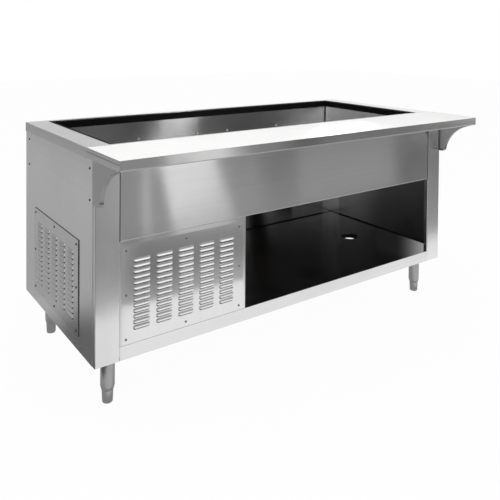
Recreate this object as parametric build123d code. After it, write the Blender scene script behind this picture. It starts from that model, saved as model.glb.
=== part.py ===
from build123d import *
import os

# Refrigerated serving table: a stainless cold well over an open storage bay and a machine bay.
# Sizes are in millimetres. X runs along the front from left to right, Y from front to back, Z up.
# The origin is on the floor, in the middle of the footprint.

# Overall sizes
LENGTH = 1829.0
DEPTH = 787.0
HEIGHT = 914.0
LEG_HEIGHT = 178.0
SHELF_REACH = 203.0

# Sheet thicknesses and bends
TOP_T = 1.5
SHELF_T = 1.5
PANEL_T = 1.2
POST_T = 2.0
BRACKET_T = 2.0
GRILLE_T = 1.0
BEND_R = 3.0

# Top sheet and its opening
SKIRT_H = 38.0
TOP_EDGE_R = 1.2
RIM_DROP = 12.0
END_MARGIN = 88.0
BACK_MARGIN = 30.0
FRONT_MARGIN = 10.0

# Work shelf, board and brackets
BOARD_T = 13.0
BOARD_GAP = 0.8
BOARD_EDGE_R = 1.5
SHELF_OVERLAP = 70.0
LIP_H = 35.0
BRACKET_REACH = 150.0
BRACKET_DROP = 186.0
BRACKET_FOOT = 41.0
BRACKET_WIDTH = 16.0
BRACKET_ARC_R = 170.0
BRACKET_TOE_R = 18.0
BRACKET_TOE_H = 20.0

# Posts, panels, apron and access frame
POST_W = 89.0
POST_SIDE = 70.0
POST_RETURN = 20.0
POST_REVEAL = 20.0
RAIL_H = 49.0
RAIL_RETURN = 25.0
STORE_H = 363.0
APRON_SETBACK = 1.0
APRON_RETURN = 20.0
FRAME_W = 35.0
FRAME_RETURN = 20.0

# Louvered panels
GRILLE_W = 510.0
GRILLE_TOP_GAP = 17.0
GRILLE_BOTTOM_GAP = 1.0
GRILLE_SIDE_GAP = 5.5
GRILLE_PARTITION_GAP = 13.0
LEFT_GRILLE_SHIFT = 8.0
LOUVER_COLUMNS = 5
LOUVER_ROWS = 13
LOUVER_W = 62.0
LOUVER_H = 12.0
LOUVER_RISE = 6.0
LOUVER_PITCH_X = 89.0
LOUVER_PITCH_Z = 19.6

# Cold well
LEDGE_W = 20.0
LEDGE_DROP = 3.0
BREAKER_T = 3.0
BREAKER_H = 33.0
PAN_T = 1.2
PAN_DEPTH = 203.0
PAN_COVE = 15.0
COIL_W = 12.7
COIL_H = 8.0
COIL_ROWS = 4
COIL_PITCH = 174.0
COIL_END_GAP = 105.0
COIL_FRONT_GAP = 13.0
INSULATION_SIDE = 38.0
INSULATION_FRONT = 22.0
INSULATION_BASE = 50.0
JACKET_T = 1.0

# Drain and its valve
DRAIN_FROM_RIGHT = 247.0
DRAIN_FROM_FRONT = 385.0
DRAIN_R = 16.7
DRAIN_BORE_R = 13.0
DRAIN_LENGTH = 30.0
VALVE_H = 58.0
VALVE_R = 23.0
STEM_R = 5.0
STEM_REACH = 34.0
STEM_END = 16.0
LEVER_LENGTH = 92.0
LEVER_W = 18.0
LEVER_T = 3.0
LEVER_CORNER = 4.5
SOCKET_H = 16.0
SOCKET_R = 14.2
SHELF_HOLE_R = 45.0

# Legs and levelling feet
LEG_INSET = 85.0
LEG_R = 25.4
LEG_PLATE = 100.0
LEG_PLATE_T = 4.0
FOOT_H = 50.0
FOOT_R = 19.5
FOOT_PLUG = 60.0

# Condensing unit, measured from the left skirt, the control box, the front of the posts and the shelf floor
BASE_FROM_LEFT = 110.0
BASE_BOX_GAP = 19.8
BASE_Y = (70.0, 690.0)
BASE_H = 22.0
BASE_T = 1.5
CONDENSER_FROM_LEFT = 150.0
CONDENSER_BOX_GAP = 39.8
CONDENSER_Y = (80.0, 130.0)
CONDENSER_H = 300.0
HEADER_W = 16.0
FIN_COUNT = 10
FIN_DEPTH = 14.0
FIN_T = 6.0
SHROUD_DEPTH = 40.0
FAN_MOUTH_R = 129.0
FAN_HUB_R = 22.0
FAN_DEPTH = 26.0
FAN_BLADES = 5
BLADE_T = 1.5
BLADE_PITCH = 28.0
BLADE_REACH = 119.0
BLADE_TIP_W = 92.0
BLADE_ROOT_W = 24.0
FAN_SHAFT_R = 4.0
MOTOR_R = 32.0
MOTOR_LENGTH = 70.0
MOTOR_CORNER = 10.0
MOTOR_GAP = 14.0
PEDESTAL_W = 50.0
PEDESTAL_T = 3.0
COMPRESSOR_OFFSET = (-20.0, -40.0)
COMPRESSOR_R = 80.0
COMPRESSOR_H = 220.0
COMPRESSOR_FOOT = 176.0
COMPRESSOR_FOOT_T = 4.0
MOUNT_W = 26.0
MOUNT_H = 16.0
LINE_R = 5.0
SUCTION_R = 8.0
RISER_INSET = 10.0
RISER_CLEAR = 2.0

# Controls in the machine bay
BOX_W = 110.0
BOX_D = 80.0
BOX_H = 125.0
BOX_FROM_FRONT = 40.0
BOX_LIFT = 203.0
BOX_T = 1.2
KNOB_R = 18.0
KNOB_H = 16.0
KNOB_STANDOFF = 1.0
KNOB_LIFT = 82.0
KNOB_SIDES = 12
POINTER_W = 3.0
POINTER_LENGTH = 14.0
KNOB_SHAFT_R = 3.0
KNOB_SHAFT_LENGTH = 20.0
ROCKER_LIFT = 30.0
ROCKER_H = 20.0
ROCKER_RISE = 3.0
ROCKER_KEEL = 8.0
ROCKER_GAP = 1.0
ROCKER_TILT = 9.0
ROCKER_W = 12.0

# Clearances
RUNNING_FIT = 0.05
SLIDE_FIT = 0.4

# Planes that the pieces share
END_SETBACK = TOP_T + BRACKET_T - PANEL_T
LEFT_PROUD = GRILLE_T + LOUVER_RISE - END_SETBACK
X_LEFT = LEFT_PROUD / 2 - LENGTH / 2
X_RIGHT = X_LEFT + LENGTH
X_MID = (X_LEFT + X_RIGHT) / 2
Y_FRONT = (SHELF_REACH - DEPTH) / 2
Y_BACK = Y_FRONT + DEPTH
Y_LIP = Y_FRONT - SHELF_REACH
Y_STEP = Y_FRONT + SHELF_OVERLAP
Z_TRAY = HEIGHT - BOARD_T - SHELF_T
Z_SHELF = LEG_HEIGHT + RAIL_H
Z_APRON = Z_SHELF + STORE_H
X_POST = X_LEFT + TOP_T + BRACKET_T
X_POST_INNER = X_POST + POST_W
Y_POST_BACK = Y_BACK - TOP_T - PANEL_T
FRONT_GRILLE_X = X_POST_INNER + GRILLE_SIDE_GAP + GRILLE_W / 2
X_PART = FRONT_GRILLE_X + GRILLE_W / 2 + GRILLE_PARTITION_GAP
Y_FRAME = Y_FRONT + APRON_SETBACK

# The opening in the top sheet, the faces of the breaker strips and the pan behind them
X_OPEN = (X_LEFT + END_MARGIN, X_RIGHT - END_MARGIN)
Y_OPEN = (Y_STEP + FRONT_MARGIN, Y_BACK - BACK_MARGIN)
PAN_INSET = LEDGE_W - BREAKER_T
Z_LEDGE = HEIGHT - LEDGE_DROP
Z_PAN_RIM = Z_LEDGE - BREAKER_T
Z_PAN_FLOOR = HEIGHT - PAN_DEPTH
Z_FOAM_FLOOR = Z_PAN_FLOOR - PAN_T - COIL_H
Z_JACKET = Z_FOAM_FLOOR - INSULATION_BASE - JACKET_T
X_DRAIN = X_RIGHT - DRAIN_FROM_RIGHT
Y_DRAIN = Y_FRONT + DRAIN_FROM_FRONT

# Louvered panels and the window behind the left one
GRILLE_Z = (Z_SHELF + GRILLE_BOTTOM_GAP, Z_APRON - GRILLE_TOP_GAP)
GRILLE_H = GRILLE_Z[1] - GRILLE_Z[0]
GRILLE_MID_Z = (GRILLE_Z[0] + GRILLE_Z[1]) / 2
LEFT_GRILLE_Y = (Y_FRONT + Y_BACK) / 2 + LEFT_GRILLE_SHIFT

# Places in the machine bay
X_BOX = X_PART - PANEL_T - BOX_W
Y_BOX = Y_FRONT + BOX_FROM_FRONT
Z_BOX = Z_SHELF + BOX_LIFT
X_BASE = (X_LEFT + BASE_FROM_LEFT, X_BOX - BASE_BOX_GAP)
X_CONDENSER = (X_LEFT + CONDENSER_FROM_LEFT, X_BOX - CONDENSER_BOX_GAP)
Z_BASE = Z_SHELF + BASE_H
FAN_X = (X_CONDENSER[0] + X_CONDENSER[1]) / 2
FAN_Z = Z_BASE + CONDENSER_H / 2
Y_SHROUD = Y_FRONT + CONDENSER_Y[1]
Y_MOTOR = Y_SHROUD + SHROUD_DEPTH + MOTOR_GAP
Z_COMPRESSOR = Z_BASE + MOUNT_H + COMPRESSOR_FOOT_T
X_COIL = (X_OPEN[0] + PAN_INSET + COIL_END_GAP, X_OPEN[1] - PAN_INSET - COIL_END_GAP)
X_RISER = X_COIL[0] + RISER_INSET
Y_ROWS = [Y_OPEN[0] + PAN_INSET + COIL_FRONT_GAP + i * COIL_PITCH for i in range(COIL_ROWS)]
COMPRESSOR_AT = (X_RISER + COMPRESSOR_OFFSET[0], Y_ROWS[-1] + COMPRESSOR_OFFSET[1])


def block(x, y, z):
    """A box given by its lowest and highest value along each axis."""
    size = [high - low for low, high in (x, y, z)]
    middle = [(low + high) / 2 for low, high in (x, y, z)]
    return Pos(*middle) * Box(*size)


def rod(start, axis, radius, length):
    """A round bar from a point along an axis."""
    return extrude(Plane(start, z_dir=axis) * Circle(radius), amount=length)


def sheet_section(points, thickness, radius=0.0):
    """Section of a bent sheet: the points run along one face and the metal lies on their left."""
    line = FilletPolyline(*points, radius=radius) if radius else Polyline(*points)
    outline = Wire(line.edges()).offset_2d(thickness, kind=Kind.INTERSECTION, side=Side.LEFT)
    return make_face(outline)


def along_x(section, x):
    return Pos(X=x[0]) * extrude(Plane.YZ * section, amount=x[1] - x[0])


def along_z(section, z):
    return Pos(Z=z[0]) * extrude(section, amount=z[1] - z[0])


def mirrored(shape):
    """The same piece at the other end of the table."""
    return mirror(shape, about=Plane.YZ.offset(X_MID))


def front_post():
    """Sheet post with its front and side faces, turned in beside the bay."""
    section = sheet_section(
        [
            (X_POST, Y_FRONT + POST_SIDE),
            (X_POST, Y_FRONT),
            (X_POST_INNER, Y_FRONT),
            (X_POST_INNER, Y_FRONT + POST_RETURN),
        ],
        POST_T,
        BEND_R,
    )
    return along_z(section, (LEG_HEIGHT, Z_TRAY))


def back_post():
    """Plain angle in the back corner."""
    section = sheet_section(
        [
            (X_POST + POST_SIDE, Y_POST_BACK),
            (X_POST, Y_POST_BACK),
            (X_POST, Y_POST_BACK - POST_SIDE),
        ],
        POST_T,
    )
    return along_z(section, (LEG_HEIGHT, HEIGHT - TOP_T))


def end_panel():
    """The plain sheet on one end, behind the skirt and against the posts."""
    return block(
        (X_POST - PANEL_T, X_POST),
        (Y_FRONT + POST_REVEAL, Y_POST_BACK),
        (LEG_HEIGHT, Z_TRAY),
    )


def left_end_panel():
    """The left panel has a window for the louvers."""
    half = GRILLE_W / 2 - FRAME_W
    window = block(
        (X_POST - PANEL_T, X_POST),
        (LEFT_GRILLE_Y - half, LEFT_GRILLE_Y + half),
        (GRILLE_Z[0] + FRAME_W, GRILLE_Z[1] - FRAME_W),
    )
    return end_panel() - window


def back_panel():
    return block(
        (X_LEFT + END_SETBACK, X_RIGHT - END_SETBACK),
        (Y_POST_BACK, Y_POST_BACK + PANEL_T),
        (LEG_HEIGHT, Z_TRAY),
    )


def front_apron():
    """A shallow folded pan between the posts, open at its back and top."""
    x = (X_POST_INNER, X_RIGHT - (X_POST_INNER - X_LEFT))
    y = (Y_FRAME, Y_FRAME + APRON_RETURN)
    body = block(x, y, (Z_APRON, Z_TRAY))
    front = body.faces().sort_by(Axis.Y)[0]
    body = fillet(front.edges() - front.edges().sort_by(Axis.Z)[-1:], BEND_R)
    openings = [body.faces().sort_by(Axis.Z)[-1], body.faces().sort_by(Axis.Y)[-1]]
    return offset(body, -PANEL_T, openings=openings)


def access_frame():
    """Jamb, header and sill that carry the front louvered panel."""
    left = X_POST_INNER
    jamb = along_z(
        sheet_section(
            [(left, Y_FRAME + FRAME_RETURN), (left, Y_FRAME), (left + FRAME_W, Y_FRAME)],
            PANEL_T,
        ),
        (Z_SHELF, Z_APRON),
    )
    bar_x = (left + FRAME_W, X_PART - FRAME_W)
    header = along_x(
        sheet_section(
            [(Y_FRAME + FRAME_RETURN, Z_APRON), (Y_FRAME, Z_APRON), (Y_FRAME, Z_APRON - FRAME_W)],
            PANEL_T,
        ),
        bar_x,
    )
    sill = along_x(
        sheet_section(
            [(Y_FRAME, Z_SHELF + FRAME_W), (Y_FRAME, Z_SHELF), (Y_FRAME + FRAME_RETURN, Z_SHELF)],
            PANEL_T,
        ),
        bar_x,
    )
    return [jamb, header, sill]


def partition():
    """Wall between the machine bay and the storage bay, with a flange at its front."""
    back = Y_POST_BACK - POST_T
    section = sheet_section(
        [(X_PART - FRAME_W, Y_FRAME), (X_PART, Y_FRAME), (X_PART, back)],
        PANEL_T,
    )
    wall = along_z(section, (Z_SHELF, Z_JACKET))
    behind_apron = block(
        (X_PART - FRAME_W, X_PART),
        (Y_FRAME, Y_FRAME + APRON_RETURN),
        (Z_APRON, Z_TRAY),
    )
    return wall - behind_apron


def bottom_shelf():
    """Floor of both bays: the front edge turns down into the rail between the posts."""
    back = Y_POST_BACK - POST_T
    section = sheet_section(
        [
            (back, LEG_HEIGHT),
            (back, Z_SHELF),
            (Y_FRONT, Z_SHELF),
            (Y_FRONT, LEG_HEIGHT),
            (Y_FRONT + RAIL_RETURN, LEG_HEIGHT),
        ],
        SHELF_T,
    )
    gap = X_POST + BEND_R - X_LEFT
    shelf = along_x(section, (X_LEFT + gap, X_RIGHT - gap))
    notch = block((X_POST, X_POST_INNER), (Y_FRONT, Y_FRONT + POST_RETURN), (LEG_HEIGHT, Z_SHELF))
    shelf -= [notch, mirrored(notch)]
    return shelf - rod((X_DRAIN, Y_DRAIN, Z_SHELF - SHELF_T), (0, 0, 1), SHELF_HOLE_R, SHELF_T)


def top_sheet():
    """Top with its skirt turned down on three sides and a rim turned down round the opening."""
    sheet = block((X_LEFT, X_RIGHT), (Y_STEP, Y_BACK), (HEIGHT - SKIRT_H, HEIGHT))
    upper = sheet.faces().sort_by(Axis.Z)[-1]
    sheet = fillet(upper.edges() - upper.edges().sort_by(Axis.Y)[:1], TOP_EDGE_R)
    inside_x = (X_LEFT + TOP_T, X_RIGHT - TOP_T)
    under = block(inside_x, (Y_STEP + TOP_T, Y_BACK - TOP_T), (HEIGHT - SKIRT_H, HEIGHT - TOP_T))
    under_front = block(inside_x, (Y_STEP, Y_STEP + TOP_T), (HEIGHT - SKIRT_H, Z_TRAY))
    rim = block(
        (X_OPEN[0] - TOP_T, X_OPEN[1] + TOP_T),
        (Y_OPEN[0] - TOP_T, Y_OPEN[1] + TOP_T),
        (HEIGHT - RIM_DROP, HEIGHT),
    )
    opening = block(X_OPEN, Y_OPEN, (HEIGHT - SKIRT_H, HEIGHT))
    return sheet - under - under_front + rim - opening


def work_shelf():
    """Tray for the board: a floor with a lip in front and at both ends."""
    tray = block((X_LEFT, X_RIGHT), (Y_LIP, Y_STEP), (HEIGHT - LIP_H, HEIGHT))
    corners = tray.edges().filter_by(Axis.Z).sort_by(Axis.Y)[:2]
    tray = fillet(corners, SHELF_T)
    inside_x = (X_LEFT + SHELF_T, X_RIGHT - SHELF_T)
    inside_y = (Y_LIP + SHELF_T, Y_STEP)
    seat = block(inside_x, inside_y, (HEIGHT - BOARD_T, HEIGHT))
    under = block(inside_x, inside_y, (HEIGHT - LIP_H, Z_TRAY))
    return tray - seat - under


def cutting_board():
    """White board lying loose in the tray."""
    edge = SHELF_T + BOARD_GAP
    board = block(
        (X_LEFT + edge, X_RIGHT - edge),
        (Y_LIP + edge, Y_STEP - BOARD_GAP),
        (HEIGHT - BOARD_T, HEIGHT),
    )
    return chamfer(board.faces().sort_by(Axis.Z)[-1].edges(), BOARD_EDGE_R)


def shelf_bracket():
    """Pressed gusset: a cup with a concave front edge and a flat tab on the side of the post."""
    low = HEIGHT - BRACKET_DROP
    tip = Y_LIP + SHELF_T + BRACKET_WIDTH / 2
    arc_top = (Y_FRONT - BRACKET_REACH, HEIGHT - LIP_H - BRACKET_WIDTH)
    arc_low = (Y_FRONT - BRACKET_FOOT, low + BRACKET_TOE_H)
    outline = [
        Polyline((Y_FRONT, low), (Y_FRONT, Z_TRAY), (tip, Z_TRAY), (tip, HEIGHT - LIP_H), arc_top),
        RadiusArc(arc_top, arc_low, BRACKET_ARC_R),
        Line(arc_low, (Y_FRONT - BRACKET_FOOT, low)),
        Line((Y_FRONT - BRACKET_FOOT, low), (Y_FRONT, low)),
    ]
    face = make_face(outline)
    toe = face.vertices().group_by(Axis.Y)[0].sort_by(Axis.X)[0]
    face = fillet(toe, BRACKET_TOE_R)
    x = X_LEFT + TOP_T
    hollow = offset(face, -BRACKET_T, kind=Kind.INTERSECTION)
    cup = along_x(face, (x, x + BRACKET_WIDTH)) - along_x(hollow, (x + BRACKET_T, x + BRACKET_WIDTH))
    return cup + block((x, x + BRACKET_T), (Y_FRONT, Y_FRONT + POST_REVEAL), (low, Z_TRAY))


def louver_form(width, height, rise):
    """Wedge of one louver, opening downwards, standing out of the plane Y = 0 towards -Y."""
    side = make_face(Polyline((0, height / 2), (0, -height / 2), (-rise, -height / 2), close=True))
    wedge = along_x(side, (-width / 2, width / 2))
    plan = make_face(
        Polyline(
            (-width / 2, 0),
            (width / 2, 0),
            (width / 2 - rise, -rise),
            (rise - width / 2, -rise),
            close=True,
        )
    )
    return wedge & along_z(plan, (-height / 2, height / 2))


def louver_grille():
    """Sheet with rows of louvers, its back on the plane Y = 0 and its middle at the origin."""
    sheet = block((-GRILLE_W / 2, GRILLE_W / 2), (-GRILLE_T, 0), (-GRILLE_H / 2, GRILLE_H / 2))
    outer = Pos(Y=-GRILLE_T) * louver_form(LOUVER_W, LOUVER_H, LOUVER_RISE)
    inner = Pos(Z=-GRILLE_T / 2) * louver_form(LOUVER_W - 2 * GRILLE_T, LOUVER_H - GRILLE_T, LOUVER_RISE)
    grid = GridLocations(LOUVER_PITCH_X, LOUVER_PITCH_Z, LOUVER_COLUMNS, LOUVER_ROWS)
    places = [Pos(spot.position.X, 0, spot.position.Y) for spot in grid]
    sheet += [place * outer for place in places]
    return sheet - [place * inner for place in places]


def place_on_front(shape):
    return Pos(FRONT_GRILLE_X, Y_FRAME, GRILLE_MID_Z) * shape


def place_on_left(shape):
    return Pos(X_POST - PANEL_T, LEFT_GRILLE_Y, GRILLE_MID_Z) * Rot(Z=-90) * shape


def breaker_strips():
    """Four lengths of black angle round the opening, butted at the corners."""
    low = HEIGHT - BREAKER_H
    front_y = Y_OPEN[0]
    front = along_x(
        sheet_section(
            [(front_y, Z_LEDGE), (front_y + LEDGE_W, Z_LEDGE), (front_y + LEDGE_W, low)][::-1],
            BREAKER_T,
        ),
        X_OPEN,
    )
    beyond_pan = block((X_OPEN[0], X_OPEN[0] + PAN_INSET), Y_OPEN, (low, Z_PAN_RIM))
    front -= [beyond_pan, mirrored(beyond_pan)]
    back = mirror(front, about=Plane.XZ.offset(-(Y_OPEN[0] + Y_OPEN[1]) / 2))
    left_x = X_OPEN[0]
    section = sheet_section(
        [(left_x, Z_LEDGE), (left_x + LEDGE_W, Z_LEDGE), (left_x + LEDGE_W, low)][::-1],
        BREAKER_T,
    )
    run = (Y_OPEN[0] + LEDGE_W, Y_OPEN[1] - LEDGE_W)
    left = Pos(Y=run[0]) * extrude(Plane.XZ * section, amount=run[1] - run[0], dir=(0, 1, 0))
    return [front, back, left, mirrored(left)]


def inset(span, amount):
    return (span[0] + amount, span[1] - amount)


def cold_pan():
    """Welded liner with coved floor edges and a rim under the breaker strips."""
    outer_x = inset(X_OPEN, PAN_INSET - PAN_T)
    outer_y = inset(Y_OPEN, PAN_INSET - PAN_T)
    body = block(outer_x, outer_y, (Z_PAN_FLOOR - PAN_T, Z_PAN_RIM))
    rim = block(X_OPEN, Y_OPEN, (Z_PAN_RIM - PAN_T, Z_PAN_RIM))
    hollow = block(inset(X_OPEN, PAN_INSET), inset(Y_OPEN, PAN_INSET), (Z_PAN_FLOOR, Z_PAN_RIM))
    hollow = fillet(hollow.faces().sort_by(Axis.Z)[0].edges(), PAN_COVE)
    drain = rod((X_DRAIN, Y_DRAIN, Z_PAN_FLOOR - PAN_T), (0, 0, 1), DRAIN_R, PAN_T)
    return body + rim - hollow - drain


def base_holes(z):
    """Square cut-outs under the pan for the drain and for the two lines that rise to the coil."""
    places = [(X_DRAIN, Y_DRAIN, DRAIN_R), (X_RISER, Y_ROWS[0], LINE_R), (X_RISER, Y_ROWS[-1], SUCTION_R)]
    return [
        block(
            (x - radius - RISER_CLEAR, x + radius + RISER_CLEAR),
            (y - radius - RISER_CLEAR, y + radius + RISER_CLEAR),
            z,
        )
        for x, y, radius in places
    ]


def foam_spans():
    """Length and depth of the foam round the pan, thinner behind the work shelf."""
    x, y = inset(X_OPEN, PAN_INSET - PAN_T), inset(Y_OPEN, PAN_INSET - PAN_T)
    return inset(x, -INSULATION_SIDE), (y[0] - INSULATION_FRONT, y[1] + INSULATION_SIDE)


def pan_insulation():
    """Foam round the pan, with room for the coil under its floor."""
    top = HEIGHT - RIM_DROP
    foam = block(*foam_spans(), (Z_JACKET + JACKET_T, top))
    inner_x = inset(X_OPEN, PAN_INSET - PAN_T)
    inner_y = inset(Y_OPEN, PAN_INSET - PAN_T)
    foam -= block(inner_x, inner_y, (Z_FOAM_FLOOR, top))
    return foam - base_holes((Z_JACKET + JACKET_T, Z_FOAM_FLOOR))


def pan_jacket():
    """Sheet casing round the foam, hung from the top sheet."""
    x, y = foam_spans()
    body = block(inset(x, -JACKET_T), inset(y, -JACKET_T), (Z_JACKET, HEIGHT - TOP_T))
    body -= block(x, y, (Z_JACKET + JACKET_T, HEIGHT - TOP_T))
    return body - base_holes((Z_JACKET, Z_JACKET + JACKET_T))


def evaporator_coil():
    """One flattened tube that runs to and fro under the pan's floor."""
    length = X_COIL[1] - X_COIL[0]
    middle = (X_COIL[0] + X_COIL[1]) / 2
    bend = Circle((COIL_PITCH + COIL_W) / 2) - Circle((COIL_PITCH - COIL_W) / 2)
    half_bend = bend & Pos(X=COIL_PITCH) * Rectangle(2 * COIL_PITCH, 2 * COIL_PITCH)
    outline = Sketch()
    for i, y in enumerate(Y_ROWS):
        outline += Pos(middle, y) * Rectangle(length, COIL_W)
        if i + 1 < COIL_ROWS:
            side = 1 if i % 2 == 0 else 0
            turn = Pos(X_COIL[side], y + COIL_PITCH / 2) * Rot(Z=180 * (1 - side))
            outline += turn * half_bend
    return along_z(outline, (Z_FOAM_FLOOR, Z_FOAM_FLOOR + COIL_H))


def drain_pipe():
    """Pipe welded into the pan's floor, down through the foam and the jacket."""
    low = Z_JACKET - DRAIN_LENGTH
    pipe = rod((X_DRAIN, Y_DRAIN, low), (0, 0, 1), DRAIN_R, Z_PAN_FLOOR - low)
    return pipe - rod((X_DRAIN, Y_DRAIN, low), (0, 0, 1), DRAIN_BORE_R, Z_PAN_FLOOR - low)


def valve_planes():
    """Lowest, middle and highest Z of the drain valve, which hangs on the end of the drain."""
    high = Z_JACKET - DRAIN_LENGTH
    return high - VALVE_H, high - VALVE_H / 2, high


def valve_body():
    """Ball valve: a hexagon body with a square boss for the stem and a socket for the waste line."""
    low, middle, high = valve_planes()
    body = extrude(Pos(X_DRAIN, Y_DRAIN, low) * RegularPolygon(VALVE_R, 6), amount=VALVE_H)
    boss = block(
        (X_DRAIN - 2 * STEM_R, X_DRAIN + 2 * STEM_R),
        (Y_DRAIN - STEM_REACH + LEVER_T, Y_DRAIN),
        (middle - 2 * STEM_R, middle + 2 * STEM_R),
    )
    stem_hole = rod((X_DRAIN, Y_DRAIN - STEM_END, middle), (0, -1, 0), STEM_R + RUNNING_FIT, STEM_REACH)
    socket = rod((X_DRAIN, Y_DRAIN, low), (0, 0, 1), SOCKET_R, SOCKET_H)
    return body + boss - stem_hole - socket


def valve_lever():
    """Stem and flat lever; crosswise at rest, with the valve shut."""
    middle = valve_planes()[1]
    seat = Y_DRAIN - STEM_REACH + LEVER_T - SLIDE_FIT
    stem = rod((X_DRAIN, seat, middle), (0, 1, 0), STEM_R, Y_DRAIN - STEM_END - SLIDE_FIT - seat)
    plate = block(
        (X_DRAIN - LEVER_W / 2, X_DRAIN + LEVER_LENGTH),
        (seat - LEVER_T, seat),
        (middle - LEVER_W / 2, middle + LEVER_W / 2),
    )
    return stem + chamfer(plate.edges().filter_by(Axis.Y), LEVER_CORNER)


def leg_places():
    xs = (X_LEFT + LEG_INSET, X_RIGHT - LEG_INSET)
    ys = (Y_FRONT + LEG_INSET, Y_BACK - LEG_INSET)
    return {
        "front_left": (xs[0], ys[0]),
        "front_right": (xs[1], ys[0]),
        "back_left": (xs[0], ys[1]),
        "back_right": (xs[1], ys[1]),
    }


def leg(place):
    """Round leg with a socket for the foot and a square plate under the shelf."""
    high = Z_SHELF - SHELF_T - LEG_PLATE_T
    plate = Pos(Z=high) * extrude(Rectangle(LEG_PLATE, LEG_PLATE), amount=LEG_PLATE_T)
    column = rod((0, 0, FOOT_H), (0, 0, 1), LEG_R, high - FOOT_H) + plate
    socket = rod((0, 0, FOOT_H), (0, 0, 1), FOOT_R + SLIDE_FIT, FOOT_PLUG)
    return Pos(*place) * (column - socket)


def foot(place):
    """Levelling foot; its upper end is drawn out of the leg's socket to level the table."""
    return Pos(*place) * rod((0, 0, 0), (0, 0, 1), FOOT_R, FOOT_H + FOOT_PLUG - SLIDE_FIT)


def span_y(span):
    return (Y_FRONT + span[0], Y_FRONT + span[1])


def condensing_base():
    """Sheet base with its edges turned down to the shelf."""
    x, y = X_BASE, span_y(BASE_Y)
    base = block(x, y, (Z_SHELF, Z_BASE))
    return base - block(inset(x, BASE_T), inset(y, BASE_T), (Z_SHELF, Z_BASE - BASE_T))


def condenser_core():
    """Fin block of the condenser, as a comb of upright fins, with a header on its left end."""
    x, y = X_CONDENSER, span_y(CONDENSER_Y)
    z = (Z_BASE, Z_BASE + CONDENSER_H)
    pitch = (x[1] - x[0]) / FIN_COUNT
    middle = (x[0] + x[1]) / 2
    gaps = [
        Pos(middle + spot.position.X, side) * Rectangle(pitch - FIN_T, FIN_DEPTH)
        for side in inset(y, FIN_DEPTH / 2)
        for spot in GridLocations(pitch, 1, FIN_COUNT - 1, 1)
    ]
    core = block(x, y, z) - [along_z(gap, inset(z, BASE_T)) for gap in gaps]
    return core + block((x[0] - HEADER_W, x[0]), y, z)


def fan_shroud():
    """Sheet box behind the condenser with a round mouth for the fan."""
    x, y = X_CONDENSER, (Y_SHROUD, Y_SHROUD + SHROUD_DEPTH)
    z = (Z_BASE, Z_BASE + CONDENSER_H)
    box = block(x, y, z) - block(inset(x, BASE_T), (y[0], y[1] - BASE_T), inset(z, BASE_T))
    return box - rod((FAN_X, y[1] - BASE_T, FAN_Z), (0, 1, 0), FAN_MOUTH_R, BASE_T)


def fan_blade():
    """Hub, shaft and pitched blades, turning in the shroud's mouth."""
    plan = make_face(
        Polyline(
            (0, -BLADE_ROOT_W / 2),
            (BLADE_REACH, -BLADE_TIP_W / 2),
            (BLADE_REACH, BLADE_TIP_W / 2),
            (0, BLADE_ROOT_W / 2),
            close=True,
        )
    )
    blade = Rot(X=BLADE_PITCH) * extrude(plan, amount=BLADE_T / 2, both=True)
    blade &= Box(2 * FAN_MOUTH_R, 2 * FAN_MOUTH_R, FAN_DEPTH)
    hub = extrude(RegularPolygon(FAN_HUB_R, FAN_BLADES), amount=FAN_DEPTH / 2, both=True)
    fan = hub + [Rot(Z=(i + 0.5) * 360 / FAN_BLADES) * blade for i in range(FAN_BLADES)]
    fan_y = Y_SHROUD + SHROUD_DEPTH - FAN_DEPTH / 2
    shaft = rod((FAN_X, fan_y, FAN_Z), (0, 1, 0), FAN_SHAFT_R, Y_MOTOR + MOTOR_LENGTH / 2 - fan_y)
    return Pos(FAN_X, fan_y, FAN_Z) * Rot(X=90) * fan + shaft


def fan_motor():
    """Square-framed motor with cut corners and a bore for the shaft."""
    body = block(
        (FAN_X - MOTOR_R, FAN_X + MOTOR_R),
        (Y_MOTOR, Y_MOTOR + MOTOR_LENGTH),
        (FAN_Z - MOTOR_R, FAN_Z + MOTOR_R),
    )
    body = chamfer(body.edges().filter_by(Axis.Y), MOTOR_CORNER)
    bore_depth = MOTOR_LENGTH / 2 + SLIDE_FIT
    return body - rod((FAN_X, Y_MOTOR, FAN_Z), (0, 1, 0), FAN_SHAFT_R + RUNNING_FIT, bore_depth)


def motor_pedestal():
    """Bent strap that carries the motor on the base."""
    section = sheet_section(
        [
            (Y_MOTOR + MOTOR_LENGTH, Z_BASE),
            (Y_MOTOR, Z_BASE),
            (Y_MOTOR, FAN_Z - MOTOR_R),
            (Y_MOTOR + MOTOR_LENGTH, FAN_Z - MOTOR_R),
        ][::-1],
        PEDESTAL_T,
    )
    half = PEDESTAL_W / 2
    return along_x(section, (FAN_X - half, FAN_X + half))


def compressor():
    """Welded pot on a square foot plate."""
    x, y = COMPRESSOR_AT
    pot = rod((x, y, Z_COMPRESSOR), (0, 0, 1), COMPRESSOR_R, COMPRESSOR_H)
    plate = block(
        (x - COMPRESSOR_FOOT / 2, x + COMPRESSOR_FOOT / 2),
        (y - COMPRESSOR_FOOT / 2, y + COMPRESSOR_FOOT / 2),
        (Z_COMPRESSOR - COMPRESSOR_FOOT_T, Z_COMPRESSOR),
    )
    return pot + plate


def compressor_mounts():
    """Rubber blocks under the corners of the compressor's foot."""
    reach = COMPRESSOR_FOOT - MOUNT_W
    rubber = extrude(Rectangle(MOUNT_W, MOUNT_W), amount=MOUNT_H)
    return [Pos(*COMPRESSOR_AT, Z_BASE) * spot * rubber for spot in GridLocations(reach, reach, 2, 2)]


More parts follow.
